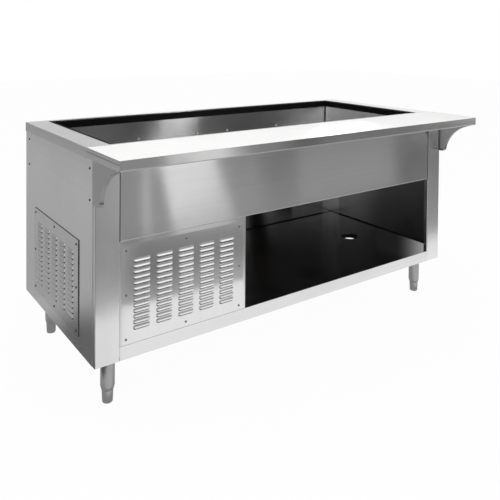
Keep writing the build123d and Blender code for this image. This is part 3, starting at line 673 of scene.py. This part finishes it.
def louver_faces(mesh, columns, rows, sheet, hood):
    """Faces of the sheet and the hoods, with the slots left open."""
    for i in range(len(columns) - 1):
        for j in range(len(rows) - 1):
            if rows[j][1] == -1 and ((i, j + 1) in hood or (i + 1, j + 1) in hood):
                continue
            low = [hood.get(key, sheet[key]) for key in ((i, j), (i + 1, j))]
            mesh.faces.new(low + [sheet[i + 1, j + 1], sheet[i, j + 1]])


def louver_panel(name, place, size, stand_off, flare, material, replaced):
    """Sheet with rows of hoods that are cut along their lower edge and flare out towards it."""
    width, height, depth = size
    face = SHEET_T + stand_off
    columns = [(-width / 2, None)] + louver_columns() + [(width / 2, None)]
    rows = [(-height / 2, None)] + louver_rows() + [(height / 2, None)]
    mesh = bmesh.new()
    sheet, hood = louver_points(mesh, place, columns, rows, face, depth - face, flare)
    louver_faces(mesh, columns, rows, sheet, hood)
    panel = add_piece(name, mesh, material, CABINET, replaced, LOUVER_SMOOTH_DEG)
    flatten_sheet(panel, place, face)
    solid = panel.modifiers.new("thickness", "SOLIDIFY")
    solid.thickness = SHEET_T
    solid.offset = -1.0


def flatten_sheet(panel, place, face):
    """Shades the flat sheet flat, so that it doesn't take the hoods' normals."""
    back = place.inverted()
    corners = panel.data.vertices
    for polygon in panel.data.polygons:
        heights = [(back @ corners[i].co).z for i in polygon.vertices]
        polygon.use_smooth = max(heights) - face > FLAT_REACH


def screw_head(mesh, place):
    """Domed head with a cross recess."""
    circles = []
    for share, lift in SCREW_RINGS:
        circle = []
        for i in range(SCREW_SIDES):
            angle = 2.0 * math.pi * i / SCREW_SIDES
            in_cross = i % (SCREW_SIDES // CROSS_ARMS) == 0 and share <= CROSS_REACH
            height = SCREW_H * (CROSS_FLOOR if in_cross else lift)
            spot = Vector((SCREW_R * share * math.cos(angle), SCREW_R * share * math.sin(angle), height))
            circle.append(mesh.verts.new(place @ spot))
        circles.append(circle)
    for outer, inner in zip(circles, circles[1:]):
        for i in range(SCREW_SIDES):
            j = (i + 1) % SCREW_SIDES
            mesh.faces.new((outer[i], outer[j], inner[j], inner[i]))
    middle = mesh.verts.new(place @ Vector((0.0, 0.0, SCREW_H * CROSS_MIDDLE)))
    for i in range(SCREW_SIDES):
        mesh.faces.new((circles[-1][i], circles[-1][(i + 1) % SCREW_SIDES], middle))
    mesh.faces.new(circles[0])


def screws(name, places, material):
    """One piece of screw heads at the given places."""
    mesh = bmesh.new()
    for place in places:
        screw_head(mesh, place)
    add_piece(name, mesh, material, CABINET)


def panel_screws(name, place, size, face, material):
    """Eight screws round an access panel."""
    width, height = size[:2]
    side, top = width / 2 - SCREW_INSET, height / 2 - SCREW_INSET
    spots = [(u, v) for u in (-side, 0.0, side) for v in (-top, 0.0, top) if (u, v) != (0.0, 0.0)]
    screws(name, [place @ Matrix.Translation((u, v, face)) for u, v in spots], material)


def end_screws(name, node, outward):
    """Four screws that hold an end panel to its posts."""
    low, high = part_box(node)
    face = low.x if outward < 0 else high.x
    ys = (low.y + END_SCREW_FRONT, high.y - END_SCREW_BACK)
    across = (0, outward, 0)
    places = [panel_place((face, y, z), across, (0, 0, 1)) for y in ys for z in END_SCREW_Z]
    screws(name, places, SCREW_SHADED)


def access_panels():
    """The two louvered panels with their screws, and the gasket under the left one."""
    place, *size = front_place()
    louver_panel("louvers_front", place, size, 0.0, FRONT_FLARE, STEEL_Z, ("louver_panel_front",))
    panel_screws("screws_front_panel", place, size, SHEET_T, SCREW_STEEL)
    place, *size = left_place()
    louver_panel("louvers_left", place, size, GASKET_T, LEFT_FLARE, STEEL_Y, ("louver_panel_left",))
    panel_screws("screws_left_panel", place, size, SHEET_T + GASKET_T, SCREW_SHADED)
    mesh = bmesh.new()
    inset = 2 * GASKET_SETBACK
    frame_ring(mesh, place, size[0] - inset, size[1] - inset, GASKET_W, 0.0, GASKET_T)
    add_piece("louver_gasket_left", mesh, GASKET, CABINET)


def hem_section():
    """Section of the rolled hem under the front lip as (inward, up) pairs."""
    turns = [2 * math.pi * i / HEM_STEPS for i in range(HEM_STEPS)]
    return [(HEM_R + HEM_R * math.cos(t), HEM_R + HEM_R * math.sin(t)) for t in turns]


def rounded_top(start, top):
    """Half-round upper edge of the tray's sheet, from a starting place inward."""
    half = TRAY_T / 2
    folds = [math.pi * i / FOLD_STEPS for i in range(FOLD_STEPS + 1)]
    return [(start + half + half * math.cos(t), top - half + half * math.sin(t)) for t in folds]


def front_lip_section(height):
    """Section of the tray's front lip as (inward, up) pairs."""
    outer, inner = TRAY_SETBACK, TRAY_SETBACK + TRAY_T
    return [(outer, HEM_R), (inner, HEM_R)] + rounded_top(outer, height)


def end_lip_section(height):
    """Section of the tray's end lips as (inward, up) pairs."""
    return rounded_top(0.0, height) + [(0.0, 0.0), (TRAY_T, 0.0)]


def tray():
    """Tray for the board: floor, plain end lips and a front lip with a rolled hem."""
    low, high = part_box("work_shelf")
    length, depth, height = high - low
    z_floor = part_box("cutting_board")[0].z - low.z
    along_x = panel_place((low.x, low.y, low.z), (0, 1, 0), (0, 0, 1))
    hem = bmesh.new()
    bar(hem, hem_section(), along_x, length)
    add_piece("tray_hem", hem, STEEL_HEM, CABINET)
    mesh = bmesh.new()
    bar(mesh, front_lip_section(height), along_x, length)
    y_floor = TRAY_SETBACK + TRAY_T
    z_under = z_floor - TRAY_T
    floor = [(y_floor, z_under), (depth, z_under), (depth, z_floor), (y_floor, z_floor)]
    bar(mesh, floor, along_x, length)
    for x in (low.x, high.x - TRAY_T):
        place = panel_place((x, high.y, low.z), (1, 0, 0), (0, 0, 1))
        bar(mesh, end_lip_section(height), place, depth - y_floor)
    piece = add_piece("tray", mesh, STEEL_LIP, CABINET, ("work_shelf",))
    piece.modifiers.new("flat_faces", "WEIGHTED_NORMAL").keep_sharp = True


def hole_collar():
    """Black collar under the shelf's drain hole, with a narrower lower end; its black also stands in for
    the shade inside the hole.
    """
    low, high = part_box("drain_pipe")
    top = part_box("bottom_shelf")[1].z
    place = Matrix.Translation(((low.x + high.x) / 2, (low.y + high.y) / 2, top))
    inner = COLLAR_R - COLLAR_T
    profile = [
        (COLLAR_R, -COLLAR_T),
        (COLLAR_R, -COLLAR_DEPTH),
        (COLLAR_BORE, -COLLAR_DEPTH),
        (COLLAR_BORE, COLLAR_T - COLLAR_DEPTH),
        (inner, COLLAR_T - COLLAR_DEPTH),
        (inner, -COLLAR_T),
    ]
    mesh = bmesh.new()
    revolve(mesh, profile, place, closed=True)
    add_piece("hole_collar", mesh, RUBBER, CABINET)


def shelf_seams():
    """Dark sealant along the right and back edges of the shelf in the bay."""
    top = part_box("bottom_shelf")[1].z
    wall_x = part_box("end_panel_right")[0].x
    wall_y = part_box("back_panel")[0].y
    start_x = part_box("partition")[1].x
    front_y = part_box("post_front_right")[1].y
    mesh = bmesh.new()
    right = panel_place((wall_x, front_y, top), (-1, 0, 0), (0, 0, 1))
    bar(mesh, cove(SEAM_RIGHT_W, SEAM_H), right, wall_y - front_y)
    back = panel_place((wall_x, wall_y, top), (0, -1, 0), (0, 0, 1))
    bar(mesh, cove(SEAM_BACK_W, SEAM_H), back, wall_x - start_x)
    add_piece("shelf_seams", mesh, RUBBER, CABINET)


def apron_joints():
    """Black strips where the apron meets the posts: painted shade in the open joints."""
    low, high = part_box("front_apron")
    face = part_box("post_front_left")[0].y
    half = JOINT_W / 2
    narrow = half - JOINT_EDGE
    front = [(-half, JOINT_EDGE), (-narrow, 0.0), (narrow, 0.0), (half, JOINT_EDGE)]
    section = front + [(half, JOINT_DEPTH), (-half, JOINT_DEPTH)]
    mesh = bmesh.new()
    for x in (low.x, high.x):
        place = Matrix.Translation((x, face - JOINT_PROUD, low.z))
        bar(mesh, section, place, high.z - low.z)
    add_piece("apron_joints", mesh, RUBBER, CABINET)


def pan_studs():
    """Low domed studs along the two long walls of the pan."""
    low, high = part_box("cold_pan")
    middle = (low.x + high.x) / 2 + STUD_SHIFT
    dome = [(STUD_R * share, STUD_H * lift) for share, lift in STUD_DOME]
    mesh = bmesh.new()
    walls = ((high.y - PAN_WALL_INSET, (1, 0, 0)), (low.y + PAN_WALL_INSET, (-1, 0, 0)))
    for y, across in walls:
        for x in STUD_X:
            revolve(mesh, dome, panel_place((middle + x, y, STUD_Z), across, (0, 0, 1)), STUD_SIDES)
    add_piece("pan_studs", mesh, STUD_STEEL, CABINET)


def pan_corners():
    """Dark beads in the pan's four upright corners."""
    low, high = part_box("cold_pan")
    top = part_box("breaker_strips")[0].z
    mesh = bmesh.new()
    for x, across in ((low.x + PAN_WALL_INSET, 1), (high.x - PAN_WALL_INSET, -1)):
        for y, inward in ((low.y + PAN_WALL_INSET, 1), (high.y - PAN_WALL_INSET, -1)):
            section = [(across * a, inward * b) for a, b in cove(CORNER_W, CORNER_W)]
            bar(mesh, section, Matrix.Translation((x, y, top - CORNER_H)), CORNER_H)
    add_piece("pan_corners", mesh, RUBBER, CABINET)


def leg_profile(under):
    """Leg tube with its socket and the drawn-in lower end."""
    low, high = LEG_SWAGE
    return [
        (0.0, LEG_SOCKET_TOP),
        (LEG_THROAT_R, LEG_SOCKET_TOP),
        (LEG_THROAT_R, low),
        (LEG_END_R - LEG_EDGE, low),
        (LEG_END_R, low + LEG_EDGE_H),
        (LEG_R - LEG_EDGE, high - SWAGE_ROUND[0]),
        (LEG_R, high + SWAGE_ROUND[1]),
        (LEG_R, under),
        (0.0, under),
    ]


def foot_profile(height):
    """Bullet foot: rounded below, a slight taper, and a neck that slides in the leg."""
    turns = [math.pi / 2 * i / FOOT_ROUND_STEPS for i in range(FOOT_ROUND_STEPS + 1)]
    core = FOOT_LOW_R - FOOT_ROUND
    low = [(core + FOOT_ROUND * math.sin(t), FOOT_ROUND * (1.0 - math.cos(t))) for t in turns]
    high = [
        (FOOT_TOP_R, FOOT_SHOULDER),
        (FOOT_TOP_R - FOOT_EDGE, FOOT_SHOULDER + FOOT_EDGE),
        (FOOT_NECK_R, FOOT_SHOULDER + FOOT_EDGE),
        (FOOT_NECK_R, height),
    ]
    return [(0.0, 0.0)] + low + high + [(0.0, height)]


def rounded_square(width, corner):
    """Outline of a square with rounded corners."""
    half = width / 2 - corner
    points = []
    for quarter, (x, y) in enumerate(((1, 1), (-1, 1), (-1, -1), (1, -1))):
        for i in range(CORNER_STEPS + 1):
            angle = math.pi / 2 * (quarter + i / CORNER_STEPS)
            points.append((x * half + corner * math.cos(angle), y * half + corner * math.sin(angle)))
    return points


def hexagon(radius):
    """Outline of a bolt's head."""
    return [(radius * math.cos(math.pi * i / 3), radius * math.sin(math.pi * i / 3)) for i in range(6)]


def legs_and_feet():
    """Turned legs with their plates and bolts, and the feet in them."""
    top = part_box("legs")[1].z
    under = top - LEG_PLATE_T
    reach = LEG_PLATE_W / 2 - LEG_BOLT_INSET
    legs, bolts = bmesh.new(), bmesh.new()
    for name in ("front_left", "front_right", "back_left", "back_right"):
        node = "foot_" + name
        low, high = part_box(node)
        place = Matrix.Translation(((low.x + high.x) / 2, (low.y + high.y) / 2, 0.0))
        revolve(legs, leg_profile(under), place)
        plate = rounded_square(LEG_PLATE_W, LEG_PLATE_CORNER)
        bar(legs, plate, place @ Matrix.Translation((0, 0, under)), LEG_PLATE_T)
        for x, y in ((-reach, -reach), (reach, -reach), (reach, reach), (-reach, reach)):
            bar(bolts, hexagon(BOLT_R), place @ Matrix.Translation((x, y, under - BOLT_H)), BOLT_H)
        foot = bmesh.new()
        revolve(foot, foot_profile(high.z), place)
        add_piece("bullet_" + node, foot, STEEL_TURNED, node, (node,))
    add_piece("leg_tubes", legs, STEEL_TURNED, CABINET, ("legs",))
    add_piece("leg_bolts", bolts, SCREW_STEEL, CABINET)


def material_with(name, build):
    """A material whose output is made by build(tree)."""
    material = bpy.data.materials.new(name)
    material.use_nodes = True
    tree = material.node_tree
    tree.nodes.clear()
    output = tree.nodes.new("ShaderNodeOutputMaterial")
    tree.links.new(build(tree), output.inputs["Surface"])
    return material


def mix_shaders(tree, fac, first, second):
    """Shader between two shaders."""
    mix = tree.nodes.new("ShaderNodeMixShader")
    for source, target in zip((fac, first, second), mix.inputs):
        tree.links.new(source, target)
    return mix.outputs["Shader"]


def seen_directly(tree):
    """1 for rays from the camera and for reflected and transmitted rays, else 0."""
    path = tree.nodes.new("ShaderNodeLightPath").outputs
    camera_or_glossy = calculate(tree, "MAXIMUM", path["Is Camera Ray"], path["Is Glossy Ray"])
    return calculate(tree, "MAXIMUM", camera_or_glossy, path["Is Transmission Ray"])


def floor_shader(tree):
    """White floor that keeps a faint shadow."""
    diffuse = tree.nodes.new("ShaderNodeBsdfDiffuse")
    diffuse.inputs["Color"].default_value = (*grey(FLOOR_SHADE), 1.0)
    glow = tree.nodes.new("ShaderNodeEmission")
    share = calculate(tree, "MULTIPLY", seen_directly(tree), 1.0 - SHADOW_SHARE)
    return mix_shaders(tree, share, diffuse.outputs["BSDF"], glow.outputs["Emission"])


def ramp_product(tree, ramps):
    """Product of smooth ramps, each one (axis, start, end, value at the start, value at the end)."""
    parts = tree.nodes.new("ShaderNodeSeparateXYZ")
    place = tree.nodes.new("ShaderNodeNewGeometry")
    tree.links.new(place.outputs["Position"], parts.inputs["Vector"])
    product = None
    for axis, start, end, first, last in ramps:
        ramp = map_range(tree, parts.outputs[axis], (start, end), (first, last), smooth=True)
        product = ramp if product is None else calculate(tree, "MULTIPLY", product, ramp)
    return product


def card_shader(glow, front_only):
    """Glow of one strength or of a list of ramps; front_only leaves the card's back clear."""

    def build(tree):
        light = tree.nodes.new("ShaderNodeEmission")
        if isinstance(glow, float):
            light.inputs["Strength"].default_value = glow
        else:
            tree.links.new(ramp_product(tree, glow), light.inputs["Strength"])
        if not front_only:
            return light.outputs["Emission"]
        behind = tree.nodes.new("ShaderNodeNewGeometry").outputs["Backfacing"]
        clear = tree.nodes.new("ShaderNodeBsdfTransparent")
        return mix_shaders(tree, behind, light.outputs["Emission"], clear.outputs["BSDF"])

    return build


def stage_plane(name, corners, material):
    """A flat face that belongs to the stage."""
    data = bpy.data.meshes.new(name)
    data.from_pydata([Vector(c) for c in corners], [], [tuple(range(len(corners)))])
    data.materials.append(material)
    plane = bpy.data.objects.new(name, data)
    bpy.context.scene.collection.objects.link(plane)
    return plane


def studio_card(name, corners, glow, front_only=False):
    """A card that only the metal sees: it gives the sheet something to reflect."""
    card = stage_plane(name, corners, material_with(name, card_shader(glow, front_only)))
    card.visible_camera = False
    card.visible_diffuse = False
    card.visible_shadow = False


def level_card(name, z, outline, glow):
    """Level card with an outline of (x, y) pairs."""
    studio_card(name, [(x, y, z) for x, y in outline], glow)


def upright_card(name, y, outline, glow):
    """Upright card along X with an outline of (x, z) pairs."""
    studio_card(name, [(x, y, z) for x, z in outline], glow)


def oblong(left, right, low, high):
    """Outline of a rectangle from its two ends along X and its low and high value across."""
    return [(left, low), (right, low), (right, high), (left, high)]


def leaning_band(low_start, low_end, high_start, high_end):
    """Outline of an upright band whose sides lean."""
    return [(low_start, 0.0), (low_end, 0.0), (high_end, BAND_TOP), (high_start, BAND_TOP)]


def stage_floor():
    """White floor round the table."""
    half = FLOOR_SIZE / 2
    corners = [(x, y, 0.0) for x, y in oblong(-half, half, -half, half)]
    stage_plane("floor", corners, material_with("floor_white", floor_shader))


def front_floor_cards():
    """What the lower front, the lip and the front post reflect."""
    near = [(-6.0, -1.05), (0.1, -1.05), (0.3, -0.88), (8.0, -0.88), (8.0, WALL_Y), (-6.0, WALL_Y)]
    left_fade = ("X", -0.4, 0.45, 0.62, 1.0)
    right_fade = ("X", 0.3, 4.6, 0.36, 0.17)
    near_fade = ("Y", -2.1, -1.6, 1.0, 0.8)
    far_fade = ("Y", -4.0, -3.4, 1.1, 1.0)
    level_card("front_floor_card", WIDE_LEVEL, near, [right_fade, left_fade, near_fade, far_fade])
    fade = [(-0.5, -1.4), (0.5, -1.4), (0.22, -0.98), (-0.45, -1.02)]
    level_card("sheet_fade_card", FADE_LEVEL, fade, [("Y", -1.4, -1.02, 0.29, 0.55), left_fade])
    lip = [(0.70, -3.2), (2.74, WALL_Y), (3.93, WALL_Y), (1.35, -3.2)]
    level_card("lip_band_card", BAND_LEVEL, lip, [("X", 1.0, 3.0, 1.22, 1.16)])
    flag = [(1.96, -3.2), (5.08, WALL_Y), (5.84, WALL_Y), (2.37, -3.2)]
    level_card("lip_flag_card", BAND_LEVEL, flag, glow=0.11)
    post = [(-0.64, -1.05), (-0.18, -2.23), (0.04, -2.23), (-0.485, -1.05)]
    level_card("post_card", BAND_LEVEL, post, glow=0.64)
    low_post = [(-0.855, -0.49), (-0.64, -1.05), (-0.485, -1.05), (-0.734, -0.49)]
    level_card("low_post_card", BAND_LEVEL, low_post, [("Y", -1.05, -0.9, 0.5, 0.78)])


def front_wall_cards():
    """What the apron and the hoods reflect: a wall, and light and dark bands before it."""
    upright_card("front_wall_card", WALL_Y, oblong(-6.0, 9.0, 0.0, 9.0), [("Z", 2.0, 8.5, 0.32, 1.4)])
    right_fade = ("X", 2.36, 2.62, 0.34, 0.15)
    left_fade = ("X", 0.7, 1.0, 0.92, 1.0)
    up_fade = ("Z", 0.05, 0.45, 1.08, 0.9)
    upright_card("apron_card", APRON_Y, oblong(-0.4, 3.3, 0.0, BAND_TOP), [right_fade, left_fade, up_fade])
    flag_fades = [("X", 0.96, 1.12, 0.33, 0.27), ("Z", 0.05, 0.45, 1.05, 0.75)]
    upright_card("dark_flag_card", FLAG_Y, leaning_band(0.98, 1.37, 0.96, 1.35), flag_fades)
    band = leaning_band(0.285, 0.78, 0.165, 0.57)
    upright_card("band_card", BAND_Y, band, [("X", 0.3, 0.75, 0.92, 0.8)])
    thin_band = leaning_band(0.05, 0.11, 0.04, 0.10)
    upright_card("thin_band_card", BAND_Y, thin_band, [("Z", 0.0, BAND_TOP, 0.62, 0.54)])


def left_cards():
    """What the left end reflects."""
    upright_card("left_wall_card", LEFT_WALL_Y, oblong(-12.0, -1.0, 0.0, 8.0), glow=0.34)
    floor = oblong(-2.49, -0.96, -1.0, 9.0)
    level_card("left_floor_card", WIDE_LEVEL, floor, [("X", -2.2, -1.0, 0.46, 0.38)])
    level_card("left_far_card", WIDE_LEVEL, oblong(-9.0, -2.49, -1.0, LEFT_WALL_Y), glow=0.3)
    dark = oblong(-1.25, -0.96, -1.0, 0.75)
    level_card("left_dark_card", BAND_LEVEL, dark, [("Y", 0.30, 0.70, 0.10, 0.42)])


def top_and_rear_cards():
    """Cards over the opening, behind and above the table, and on the floor at its back and right."""
    upright_card("pan_card", PAN_CARD_Y, oblong(0.10, 0.37, 0.93, 1.5), glow=8.5)
    upright_card("rim_card", RIM_CARD_Y, oblong(-2.0, 2.2, 0.9, 3.0), [("X", 1.6, 2.2, 0.68, 0.95)])
    level_card("ceiling_card", CEILING_Z, oblong(-4.0, 4.0, -0.3, 5.0), [("X", -1.2, 0.4, 0.4, 0.16)])
    rear = [(-0.8, 1.0), (1.05, 1.0), (1.05, -0.25), (9.0, -0.25), (9.0, 9.0), (-0.8, 9.0)]
    rear_fades = [("X", 1.05, 4.5, 0.8, 0.48), ("Y", 1.0, 5.0, 1.0, 0.6)]
    level_card("rear_floor_card", WIDE_LEVEL, rear, rear_fades)


def inner_cards():
    """Cards in the bay's front right corner, under the drain hole and under the table: painted light in
    the bay, painted shade in the hole and painted shadow under the table, all seen only in reflections.
    """
    # A glowing card by the bay's right wall: painted light, so that the shelf reflects a bright wedge in
    # its front right corner
    corner = [(CORNER_CARD_X, y, z) for y, z in [(-0.22, 0.23), (-0.22, 0.36), (0.12, 0.36), (0.12, 0.23)]]
    corner_fades = [("Y", -0.24, -0.02, 0.55, 0.04), ("Y", -0.24, -0.06, 1.0, 0.5)]
    studio_card("corner_painted_light_card", corner, corner_fades, front_only=True)
    # A dark card under the drain hole: painted shade, seen in reflections
    level_card("hole_painted_shade_card", HOLE_CARD_Z, oblong(0.60, 0.74, 0.02, 0.16), glow=0.02)
    # A darker card on the floor under the table: painted shadow, seen in the reflections of the legs and
    # sheet
    level_card("under_table_painted_shadow_card", UNDER_LEVEL, oblong(-0.93, 0.92, -0.262, 0.49), glow=0.55)


def key_lamp():
    """Soft lamp from above the left front."""
    key = bpy.data.lights.new("key", "AREA")
    key.shape = "RECTANGLE"
    key.size, key.size_y = KEY_SIZE
    key.energy = KEY_POWER
    lamp = bpy.data.objects.new("key", key)
    lamp.location = KEY_AT
    lamp.visible_glossy = False
    aim = Vector(KEY_AIM) - Vector(KEY_AT)
    lamp.rotation_euler = aim.to_track_quat("-Z", "Y").to_euler()
    bpy.context.scene.collection.objects.link(lamp)


def white_world():
    """World that looks white and lights the object less."""
    world = bpy.data.worlds.new("studio")
    world.use_nodes = True
    tree = world.node_tree
    back = tree.nodes["Background"]
    back.inputs["Color"].default_value = (*grey(1.0), 1.0)
    strength = map_range(tree, seen_directly(tree), (0.0, 1.0), (AMBIENT, 1.0))
    tree.links.new(strength, back.inputs["Strength"])
    bpy.context.scene.world = world


def camera():
    """Camera at the photograph's place, with its frame shifted down as there."""
    lens = bpy.data.cameras.new("camera")
    lens.sensor_width = SENSOR_MM
    lens.lens = FOCAL_PX / FRAME_PX * SENSOR_MM
    lens.shift_y = CENTRE_SHIFT_PX / FRAME_PX
    eye = bpy.data.objects.new("camera", lens)
    turn = Matrix.Rotation(-CAMERA_YAW, 4, "Z")
    tilt = Matrix.Rotation(math.pi / 2 - CAMERA_PITCH, 4, "X")
    roll = Matrix.Rotation(CAMERA_ROLL, 4, "Z")
    eye.matrix_world = Matrix.Translation(CAMERA_AT) @ turn @ tilt @ roll
    bpy.context.scene.collection.objects.link(eye)
    bpy.context.scene.camera = eye


finish_nodes()
soften_edges()
access_panels()
end_screws("screws_left_end", "end_panel_left", -1)
end_screws("screws_right_end", "end_panel_right", 1)
tray()
hole_collar()
shelf_seams()
apron_joints()
pan_studs()
pan_corners()
legs_and_feet()
stage_floor()
front_floor_cards()
front_wall_cards()
left_cards()
top_and_rear_cards()
inner_cards()
key_lamp()
white_world()
camera()
bpy.context.scene.view_settings.view_transform = "Standard"
